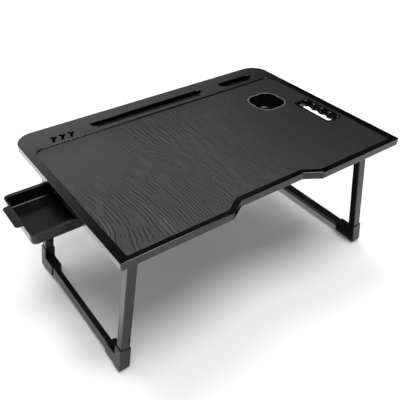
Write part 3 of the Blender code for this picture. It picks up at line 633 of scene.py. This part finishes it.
broken = grain_noise(95.0, 22.0)
line_gaps = add_range(grain_tree, broken, 0.50, 0.66, 0.0, 0.85)
ring_lines = add_math(grain_tree, "MAXIMUM", ring_mask(165.0, 0.06, 0.30), line_gaps)
fine_gaps = add_range(grain_tree, broken, 0.36, 0.52, 1.0, 0.25)
pores = add_math(grain_tree, "MAXIMUM", ring_mask(330.0, 0.04, 0.30), fine_gaps)
streaks = add_range(grain_tree, grain_lines(80.0, 4.0, 2.0), 0.55, 0.75, 0.0, 1.0)
calm_place = add_node(grain_tree, "ShaderNodeMapping",
                      {"Location": (0.20, -0.12, 0.0), "Scale": (1.0, 1.0, 0.0)}, {"Vector": place})
calm_reach = grain_tree.nodes.new("ShaderNodeVectorMath")
calm_reach.operation = "LENGTH"
grain_tree.links.new(calm_place.outputs["Vector"], calm_reach.inputs[0])
figure = add_range(grain_tree, calm_reach.outputs["Value"], 0.05, 0.17, 0.06, 1.0)
fade_right = add_range(grain_tree, grain_x, 0.02, 0.28, 1.0, 0.8)
figure = add_math(grain_tree, "MULTIPLY", figure, fade_right)
flat = add_math(grain_tree, "MINIMUM", ring_lines, add_range(grain_tree, pores, 0.0, 1.0, 0.35, 1.0))
hollows = add_math(grain_tree, "MULTIPLY", add_math(grain_tree, "SUBTRACT", 1.0, flat), figure)
raised = add_math(grain_tree, "SUBTRACT", 1.0, hollows)
body_colour = add_mix(grain_tree, add_math(grain_tree, "MULTIPLY", streaks, figure),
                      (0.048, 0.048, 0.049), (0.070, 0.070, 0.071))
# Painted shade: the sheet's colour is darkened towards the right, towards the rear and round the calm
# patch at the rear left, standing in for less light there.
painted_shade = add_range(grain_tree, grain_x, -0.05, 0.28, 0.0, 0.8)
for painted_darkening in (add_range(grain_tree, calm_reach.outputs["Value"], 0.05, 0.20, 0.32, 0.0),
               add_range(grain_tree, grain_y, 0.0, 0.14, 0.0, 0.55)):
    painted_shade = add_math(grain_tree, "MAXIMUM", painted_shade, painted_darkening)
painted_shade_colour = add_mix(grain_tree, painted_shade, body_colour, (0.008, 0.008, 0.0085))
line_colour = add_mix(grain_tree, hollows, painted_shade_colour, (0.002, 0.002, 0.002))
grain_tree.links.new(line_colour, grain_shader.inputs["Base Color"])
grain_tree.links.new(add_range(grain_tree, hollows, 0.0, 1.0, 0.46, 0.62),
                     grain_shader.inputs["Roughness"])
grain_skin = use_group(grain_tree, surface_group, {"Relief Scale": 900.0, "Marks Scale": 8.0})
fine_relief = add_math(grain_tree, "MULTIPLY", grain_skin.outputs["Relief"], 0.15)
grain_bump = add_node(grain_tree, "ShaderNodeBump", {"Strength": 0.5, "Distance": 0.00015},
                      {"Height": add_math(grain_tree, "ADD", raised, fine_relief)})
grain_tree.links.new(grain_bump.outputs["Normal"], grain_shader.inputs["Normal"])
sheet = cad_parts["wood_grain_panel"]
for slot in sheet.material_slots:
    slot.material = grain_sheet


# Cup well: a moulded black plastic cup in the shape of a four-leaf clover, dropped through the
# board. Its thin flange lies in the routed field, where the wood-grain sheet is cut away, and
# the top of its rim is painted light grey as a painted highlight.
moulded_plastic = dress_skin("black_moulded_plastic", (0.0035, 0.0035, 0.0036), (0.010, 0.010, 0.010),
                             0.24, 0.32, 2200.0, 0.00005, 16.0, specular=0.35)
well_low, well_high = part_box("cup_holder_well")
cup_plastic = moulded_plastic.copy()
cup_plastic.name = "black_cup_plastic"
cup_tree = cup_plastic.node_tree
cup_shader = cup_tree.nodes["Principled BSDF"]
cup_place = cup_tree.nodes.new("ShaderNodeTexCoord")
cup_height = cup_tree.nodes.new("ShaderNodeSeparateXYZ")
cup_tree.links.new(cup_place.outputs["Object"], cup_height.inputs[0])
# Painted highlight: a light grey band on the top of the rim stands in for the glint of light along it.
painted_rim_highlight = add_range(cup_tree, cup_height.outputs["Z"], well_high.z - 0.0006,
                     well_high.z - 0.0003, 0.0, 1.0)
rim_highlight_colour = add_mix(cup_tree, painted_rim_highlight, cup_shader.inputs["Base Color"].links[0].from_socket,
                     (0.115, 0.115, 0.115))
cup_tree.links.new(rim_highlight_colour, cup_shader.inputs["Base Color"])
flange_low = well_high.z - 0.0015
well = clover_block("clover_cup_well", lobe_radius + cup_wall + cup_flange, flange_low, well_high.z)
cup_draft = 0.0025 / (lobe_radius + lobe_offset)
cup_floor = 0.002
pick("FACE", lambda p: abs(p.z - flange_low) < hair)
inset_picked(cup_flange)
push_picked(0, 0, well_low.z - flange_low)
bpy.ops.transform.resize(value=(1 - cup_draft, 1 - cup_draft, 1), center_override=(cup_x, cup_y, 0))
pick("EDGE", lambda p: abs(p.z - well_low.z) < hair)
round_picked(0.004, 5)
pick("FACE", lambda p: abs(p.z - well_high.z) < hair)
inset_picked(cup_flange + cup_wall)
push_picked(0, 0, well_low.z + cup_floor - well_high.z)
bpy.ops.transform.resize(value=(1 - cup_draft, 1 - cup_draft, 1), center_override=(cup_x, cup_y, 0))
pick("EDGE", lambda p: abs(p.z - well_low.z - cup_floor) < hair)
round_picked(0.003, 5)
pick("EDGE", lambda p: abs(p.z - well_high.z) < hair)
round_picked(0.0008, 3)
finish_piece(well, cup_plastic)
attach(well, "tabletop")
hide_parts("cup_holder_well")


# Handle liner: a glossy black plastic frame pressed into the see-through carry slot. Its outer
# side has four finger scallops with soft ridges between them; they narrow a little downwards
# and flare at the top.
gloss_plastic = dress_skin("black_gloss_plastic", (0.0018, 0.0018, 0.0019), (0.005, 0.005, 0.005),
                           0.12, 0.16, 2200.0, 0.00002, 16.0, specular=0.8)
liner_low, liner_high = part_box("handle_insert")
liner_flange_low = liner_high.z - 0.0014
liner = handle_block("finger_handle_liner", handle_wall + handle_flange, liner_flange_low,
                     liner_high.z)
pick("FACE", lambda p: abs(p.z - liner_flange_low) < hair)
inset_picked(handle_flange)
push_picked(0, 0, liner_low.z - liner_flange_low)
finger_pitch, finger_depth = 0.0225, 0.0062
finger_radius = (finger_pitch ** 2 / 4 + finger_depth ** 2) / (2 * finger_depth)
ridge_x = handle_x + handle_half_x - finger_depth
opening_low, opening_high = liner_low.z - 0.002, liner_high.z + 0.002
lip_side, lip_end, lip_fall = 0.0052, 0.0040, 0.0030
flare_widen, finger_taper = 1 + 0.0026 / finger_radius, 1 - 0.0032 / finger_radius
opening_side = handle_x - handle_half_x + lip_side
opening_ends = (handle_y - handle_half_y + lip_end, handle_y + handle_half_y - lip_end)
opening = start_block("handle_opening", (opening_side, opening_ends[0], opening_low),
                      (ridge_x - hair, opening_ends[1], opening_high))
for y in opening_ends:
    pick_upright(opening_side, y)
    round_picked(handle_corner, 6)
    pick_upright(ridge_x - hair, y)
    round_picked(0.0015, 4)
opening_middle = (opening_low + opening_high) / 2
finger_x = handle_x + handle_half_x - finger_radius
for finger in range(4):
    finger_y = handle_y + (finger - 1.5) * finger_pitch
    scallop = start_rod("finger_scallop", (finger_x, finger_y, opening_middle),
                        finger_radius, opening_high - opening_low, sides=96)
    pick("VERT", lambda p: p.z < opening_middle)
    bpy.ops.transform.resize(value=(finger_taper, finger_taper, 1),
                             center_override=(finger_x, finger_y, opening_low))
    pick_all()
    bpy.ops.mesh.bisect(plane_co=(ridge_x - 0.001, 0, 0), plane_no=(1, 0, 0), use_fill=True,
                        clear_inner=True)
    cut_out(opening, scallop, "UNION")
for ridge in range(3):
    ridge_place = (ridge_x + 0.0006, handle_y + (ridge - 1) * finger_pitch, opening_middle)
    cut_out(opening, start_rod("ridge_nose", ridge_place, 0.0012, 0.04, sides=32))
merge_flat()
cut_out(liner, opening)
lip = start_block("lip_cutter",
                  (handle_x - handle_half_x, handle_y - handle_half_y, liner_high.z - lip_fall),
                  (ridge_x - hair, handle_y + handle_half_y, liner_high.z + hair))
pick("VERT", lambda p: p.z < liner_high.z - hair and p.x < handle_x)
bpy.ops.transform.translate(value=(lip_side + hair, 0, 0))
for way in (-1, 1):
    pick("VERT", lambda p: p.z < liner_high.z - hair and (p.y - handle_y) * way > 0)
    bpy.ops.transform.translate(value=(0, -way * (lip_end + hair), 0))
cut_out(liner, lip)
for finger in range(4):
    finger_y = handle_y + (finger - 1.5) * finger_pitch
    flare_middle = Vector((finger_x, finger_y, liner_high.z - 0.0008))
    flare = start_rod("finger_flare", flare_middle, finger_radius, 0.0018, sides=96)
    pick("VERT", lambda p: p.z > flare_middle.z)
    bpy.ops.transform.resize(value=(flare_widen, flare_widen, 1), center_override=flare_middle)
    cut_out(liner, flare)
pick("EDGE", lambda p: (abs(p.z - liner_high.z) < hair
                        and abs(p.x - handle_x) < handle_half_x + 0.001
                        and abs(p.y - handle_y) < handle_half_y + 0.001))
round_picked(0.0006, 3)
pick("EDGE", lambda p: (abs(p.z - liner_high.z) < hair
                        and (abs(p.x - handle_x) > handle_half_x + 0.002
                             or abs(p.y - handle_y) > handle_half_y + 0.002)))
round_picked(0.0005, 2)
finish_piece(liner, gloss_plastic)
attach(liner, "tabletop")
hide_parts("handle_insert")


# Drawer: a shallow moulded black plastic tray with round corners. Its two side flanges run on
# rails under the board, and a rounded finger tab stands out at its front.
drawer_low, drawer_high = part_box("drawer_tray")
tab_reach, end_lip, side_flange, tray_wall = 0.0125, 0.001, 0.005, 0.002
flange_under = drawer_high.z - 0.0016
tray_low = Vector((drawer_low.x + tab_reach, drawer_low.y + side_flange, drawer_low.z))
tray_high = Vector((drawer_high.x - end_lip, drawer_high.y - side_flange, drawer_high.z - 0.0004))


tray = rounded_block("drawer_tray_moulding", tray_low, tray_high, 0.009, 8)
pick("EDGE", lambda p: abs(p.z - tray_low.z) < hair)
round_picked(0.005, 6)
flanges = rounded_block("drawer_flanges", (tray_low.x - end_lip, drawer_low.y, flange_under),
                        drawer_high, 0.010, 8)
cut_out(tray, flanges, "UNION")
tab_low = Vector((drawer_low.x, drawer_low.y + 0.037, flange_under - 0.0026))
tab_high = Vector((tray_low.x + 0.001, tab_low.y + 0.060, flange_under + 0.0008))
tab = start_block("finger_tab", tab_low, tab_high)
for y in (tab_low.y, tab_high.y):
    pick_upright(tab_low.x, y)
    round_picked(0.0055, 6)
for level in (tab_low.z, tab_high.z):
    pick("EDGE", lambda p: abs(p.z - level) < hair and p.x < tab_high.x - hair)
    round_picked(0.0007, 3)
cut_out(tray, tab, "UNION")
hollow_low = tray_low + Vector((tray_wall, tray_wall, tray_wall))
hollow_high = Vector((tray_high.x - tray_wall, tray_high.y - tray_wall, drawer_high.z + 0.002))
hollow = rounded_block("drawer_hollow", hollow_low, hollow_high, 0.007, 8)
pick("EDGE", lambda p: abs(p.z - hollow_low.z) < hair)
round_picked(0.003, 5)
cut_out(tray, hollow)
pick("EDGE", lambda p: abs(p.z - drawer_high.z) < hair)
round_picked(0.0009, 4)
finish_piece(tray, moulded_plastic)
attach(tray, "drawer")
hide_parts("drawer_tray")


# Leg uprights: powder-coated rectangular steel tube with rounded corners, one at each corner of
# the table. They lean nine degrees outwards from the hinge pins at their tops.
powder_coat = dress_skin("black_powder_coat", (0.0025, 0.0025, 0.0027), (0.012, 0.012, 0.012),
                         0.16, 0.23, 700.0, 0.00006, 12.0, specular=0.42)
pin_low, pin_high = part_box("left_front_pivot_pin")
pivot = (pin_low + pin_high) / 2
lean = math.radians(9)
frame_middle_y = (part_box("left_foot_bar")[0].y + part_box("left_foot_bar")[1].y) / 2
tube_half_x, tube_half_y, tube_wall, tube_corner = 0.009, 0.008, 0.0012, 0.002
plug_neck = 0.009


def down_leg(height):
    """Distance down the leg from the pin to the point that stands at a height above the floor."""
    return (height - pivot.z) / math.cos(lean)


def lean_out():
    """Turn the open piece to the splay of the left legs, about the hinge pin."""
    pick_all()
    bpy.ops.transform.rotate(value=-lean, orient_axis="Y", center_override=pivot)


def open_copy(piece):
    """A copy of a finished piece, opened in edit mode with all of it selected."""
    bpy.ops.object.select_all(action="DESELECT")
    piece.select_set(True)
    bpy.context.view_layer.objects.active = piece
    bpy.ops.object.duplicate()
    bpy.ops.object.mode_set(mode="EDIT")
    pick_all()
    return bpy.context.object


def mirror_copy(piece, flip_x, flip_y):
    """A copy of a finished piece, mirrored about the middle of the table with a -1."""
    copy = open_copy(piece)
    bpy.ops.transform.resize(value=(flip_x, flip_y, 1), center_override=(middle_x, frame_middle_y, 0))
    bpy.ops.mesh.normals_make_consistent(inside=False)
    bpy.ops.object.mode_set(mode="OBJECT")
    bpy.ops.mesh.customdata_custom_splitnormals_clear()
    weigh_normals(copy)
    return copy


def place_at_corners(piece, kind, body=None):
    """Keep a left front piece and mirror copies of it to the other three corners."""
    for side, row in (("left", "front"), ("left", "rear"), ("right", "front"), ("right", "rear")):
        copy = piece
        if (side, row) != ("left", "front"):
            copy = mirror_copy(piece, -1 if side == "right" else 1, -1 if row == "rear" else 1)
        copy.name = f"{side}_{row}_{kind}_piece"
        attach(copy, body or side + "_leg")
        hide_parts(f"{side}_{row}_{kind}")


socket_bottom_height, socket_floor = 0.0058, 0.006
tube_low = pivot.z + down_leg(socket_bottom_height) + socket_floor + seat_gap
tube_high = pivot.z - plug_neck - seat_gap
upright = rounded_block("upright", (pivot.x - tube_half_x, pivot.y - tube_half_y, tube_low),
                        (pivot.x + tube_half_x, pivot.y + tube_half_y, tube_high), tube_corner, 5)
for level, inward in ((tube_low, 0.006), (tube_high, -0.024)):
    pick("FACE", lambda p: abs(p.z - level) < hair)
    inset_picked(tube_wall)
    push_picked(0, 0, inward)
lean_out()
finish_piece(upright, powder_coat)
place_at_corners(upright, "leg_tube")


# Foot bars: a flatter powder-coated tube on edge from front to back on each side, held between
# two corner sockets just above the floor, near their outer faces.
bar_depth, bar_height, bar_clearance, bar_outset = 0.012, 0.0198, 0.0085, 0.0027
bar_x = pivot.x - bar_outset
bar_low = pivot.z + down_leg(0) + bar_clearance


def round_lengthwise(x_sides, z_sides, corner):
    """Round the four edges of the open block that run from front to back."""
    segments = 5
    for x in x_sides:
        for z in z_sides:
            pick("EDGE", lambda p: abs(p.x - x) < hair and abs(p.z - z) < hair)
            round_picked(corner, segments)


bar_front, bar_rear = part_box("left_foot_bar")[0].y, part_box("left_foot_bar")[1].y
bar = start_block("left_foot_bar_piece", (bar_x - bar_depth / 2, bar_front, bar_low),
                  (bar_x + bar_depth / 2, bar_rear, bar_low + bar_height))
round_lengthwise((bar_x - bar_depth / 2, bar_x + bar_depth / 2), (bar_low, bar_low + bar_height),
                 tube_corner)
for end, inward in ((bar_front, 0.01), (bar_rear, -0.01)):
    pick("FACE", lambda p: abs(p.y - end) < hair)
    inset_picked(tube_wall)
    push_picked(0, inward, 0)
lean_out()
finish_piece(bar, powder_coat)
for side in ("left", "right"):
    bar_copy = bar if side == "left" else mirror_copy(bar, -1, 1)
    bar_copy.name = side + "_foot_bar_piece"
    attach(bar_copy, side + "_leg")
    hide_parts(side + "_foot_bar")


# Corner sockets: black plastic elbows that join an upright to the foot bar. The leg tube is
# pressed in from above and the bar from the side, and a fillet stiffens the inner corner.
socket_wall, socket_height, socket_arm = 0.0012, 0.046, 0.033
socket_half_x = tube_half_x + seat_gap + socket_wall
socket_half_y = tube_half_y + seat_gap + socket_wall
socket_low = pivot.z + down_leg(socket_bottom_height)
socket_high = socket_low + socket_height
arm_low = bar_low - seat_gap - socket_wall
arm_high = bar_low + bar_height + seat_gap + socket_wall
arm_step = arm_low - socket_low
sleeve_rear = pivot.y + socket_half_y
socket = start_block("socket", (pivot.x - socket_half_x, pivot.y - socket_half_y, socket_low),
                     (pivot.x + socket_half_x, sleeve_rear, socket_high))
bpy.ops.mesh.bisect(plane_co=(0, 0, arm_high), plane_no=(0, 0, 1))
pick("FACE", lambda p: abs(p.y - sleeve_rear) < hair and p.z < arm_high + hair)
push_picked(0, arm_step, 0)
pick("VERT", lambda p: abs(p.y - sleeve_rear - arm_step) < hair and p.z < socket_low + hair)
bpy.ops.transform.translate(value=(0, 0, arm_step))
pick("FACE", lambda p: abs(p.y - sleeve_rear - arm_step) < hair)
push_picked(0, socket_arm - arm_step, 0)
for side in (-1, 1):
    pick("VERT", lambda p: p.z < arm_low - hair and (p.x - pivot.x) * side > 0)
    bpy.ops.transform.translate(value=(0, 0, side * socket_half_x * math.tan(lean)))
merge_flat()
pick("EDGE", lambda p: abs(p.y - sleeve_rear) < hair and abs(p.z - arm_high) < hair)
round_picked(0.003, 4)
bpy.ops.mesh.select_mode(type="EDGE")
bpy.ops.mesh.select_all(action="DESELECT")
bpy.ops.mesh.edges_select_sharp(sharpness=math.radians(35))
bpy.ops.mesh.bevel(offset=0.001, segments=3, profile=0.5, affect="EDGES", clamp_overlap=True)
tube_space = rounded_block("tube_space", (pivot.x - tube_half_x - seat_gap,
                                          pivot.y - tube_half_y - seat_gap, tube_low - seat_gap),
                           (pivot.x + tube_half_x + seat_gap, pivot.y + tube_half_y + seat_gap,
                            socket_high + 0.002), tube_corner + seat_gap, 5)
cut_out(socket, tube_space)
bar_space = start_block("bar_space", (bar_x - bar_depth / 2 - seat_gap, pivot.y + socket_half_y,
                                      bar_low - seat_gap),
                        (bar_x + bar_depth / 2 + seat_gap, sleeve_rear + socket_arm + 0.002,
                         bar_low + bar_height + seat_gap))
round_lengthwise((bar_x - bar_depth / 2 - seat_gap, bar_x + bar_depth / 2 + seat_gap),
                 (bar_low - seat_gap, bar_low + bar_height + seat_gap), tube_corner + seat_gap)
cut_out(socket, bar_space)
lean_out()
finish_piece(socket, moulded_plastic)
place_at_corners(socket, "corner_socket")


# Foot pads: black rubber blocks glued under the sockets, level on the floor although the legs
# lean, with a shallow dished sole.
foot_rubber = dress_skin("black_foot_rubber", (0.010, 0.010, 0.010), (0.022, 0.022, 0.022),
                         0.70, 0.86, 1600.0, 0.00012, 40.0)
pad_height, pad_inset = 0.0055, 0.0028
pad_x = pivot.x - pivot.z * math.tan(lean)
pad_half_x = (socket_half_x - pad_inset) / math.cos(lean)
pad_half_y = socket_half_y - pad_inset
pad = rounded_block("pad", (pad_x - pad_half_x, pivot.y - pad_half_y, 0),
                    (pad_x + pad_half_x, pivot.y + pad_half_y, pad_height), 0.002, 5)
pick("VERT", lambda p: p.z > pad_height - hair)
bpy.ops.transform.translate(value=(pad_height * math.tan(lean), 0, 0))
pick("FACE", lambda p: p.z < hair)
inset_picked(0.003)
push_picked(0, 0, 0.0008)
pick("EDGE", lambda p: p.z < hair and (abs(p.x - pad_x) > pad_half_x - 0.0025
                                       or abs(p.y - pivot.y) > pad_half_y - 0.0025))
round_picked(0.0008, 3)
finish_piece(pad, foot_rubber)
place_at_corners(pad, "foot_pad")


# Hinge plugs: black plastic eyes pushed into the tops of the uprights. The pin runs through
# the round top, and a spigot fills the tube below the neck.
plug = start_rod("plug", pivot, tube_half_x, 2 * tube_half_y, axis="Y", sides=64)
bpy.ops.mesh.bisect(plane_co=pivot, plane_no=(0, 0, 1), use_fill=True, clear_inner=True)
pick("FACE", lambda p: abs(p.z - pivot.z) < hair)
push_picked(0, 0, -plug_neck)
inset_picked(tube_wall + 2 * seat_gap)
push_picked(0, 0, -0.022)
for y in (pivot.y - tube_half_y, pivot.y + tube_half_y):
    pick("EDGE", lambda p: abs(p.y - y) < hair and p.z > pivot.z - plug_neck - hair)
    round_picked(0.0006, 3)
pin_hole = start_rod("pin_hole", pivot, 0.0028, 0.03, axis="Y", sides=32)
cut_out(plug, pin_hole)
lean_out()
finish_piece(plug, moulded_plastic)
place_at_corners(plug, "hinge_plug")


# Pivot pins: zinc-plated steel rivets with a low domed head at each end, on which the legs turn.
zinc_plate = dress_skin("zinc_plated_steel", (0.50, 0.51, 0.53), (0.62, 0.62, 0.62),
                        0.24, 0.42, 500.0, 0.00003, 160.0, metallic=1.0)
pin_radius, pin_head_radius, pin_head_height = 0.0025, 0.0042, 0.0014
pin_seat = (pin_high.y - pin_low.y) / 2 - pin_head_height
pin = start_rod("pin", pivot, pin_radius, 2 * pin_seat, axis="Y", sides=32)
for end in (-1, 1):
    pick("FACE", lambda p: abs(p.y - pivot.y - end * pin_seat) < hair)
    push_picked(0, 0, 0)
    bpy.ops.transform.resize(value=(pin_head_radius / pin_radius, 1, pin_head_radius / pin_radius),
                             center_override=pivot)
    push_picked(0, end * pin_head_height, 0)
    pick("EDGE", lambda p: abs(p.y - pivot.y - end * (pin_seat + pin_head_height)) < hair)
    round_picked(0.001, 4)
finish_piece(pin, zinc_plate)
place_at_corners(pin, "pivot_pin", "tabletop")


# Screws: small zinc-plated pan heads with a cross recess, driven up into the underside of the
# board. One is modelled and the others are copies of it.
screw_low, screw_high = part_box("left_front_bracket_screw_1")
screw_middle = (screw_low + screw_high) / 2
head_radius, head_height, shank_radius = 0.0031, 0.0018, 0.0015
screw = start_rod("screw", (screw_middle.x, screw_middle.y, screw_low.z + head_height / 2),
                  head_radius, head_height, sides=32)
pick("EDGE", lambda p: abs(p.z - screw_low.z) < hair)
round_picked(0.0011, 5)
pick("FACE", lambda p: abs(p.z - screw_low.z - head_height) < hair)
inset_picked(head_radius - shank_radius)
push_picked(0, 0, 0.004)
push_picked(0, 0, screw_high.z - screw_low.z - head_height - 0.004)
bpy.ops.transform.resize(value=(0.4, 0.4, 1), center_override=screw_middle)
for half_x, half_y in ((0.0017, 0.00028), (0.00028, 0.0017)):
    blade = start_block("cross_recess", (screw_middle.x - half_x, screw_middle.y - half_y,
                                         screw_low.z - 0.001),
                        (screw_middle.x + half_x, screw_middle.y + half_y, screw_low.z + 0.0011))
    cut_out(screw, blade)
finish_piece(screw, zinc_plate)
for node in sorted(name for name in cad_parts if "_screw_" in name):
    place = (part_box(node)[0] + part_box(node)[1]) / 2
    driven = screw
    if node != "left_front_bracket_screw_1":
        driven = open_copy(screw)
        bpy.ops.transform.translate(value=place - screw_middle)
        bpy.ops.object.mode_set(mode="OBJECT")
    driven.name = node + "_piece"
    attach(driven, "tabletop")
    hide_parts(node)


# Brackets and drawer rails: folded steel brackets, powder-coated black, and black plastic rails,
# all screwed to the underside of the board.
for name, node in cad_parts.items():
    if name.endswith("_bracket") or name.endswith("_drawer_rail"):
        for slot in node.material_slots:
            slot.material = powder_coat if name.endswith("_bracket") else moulded_plastic
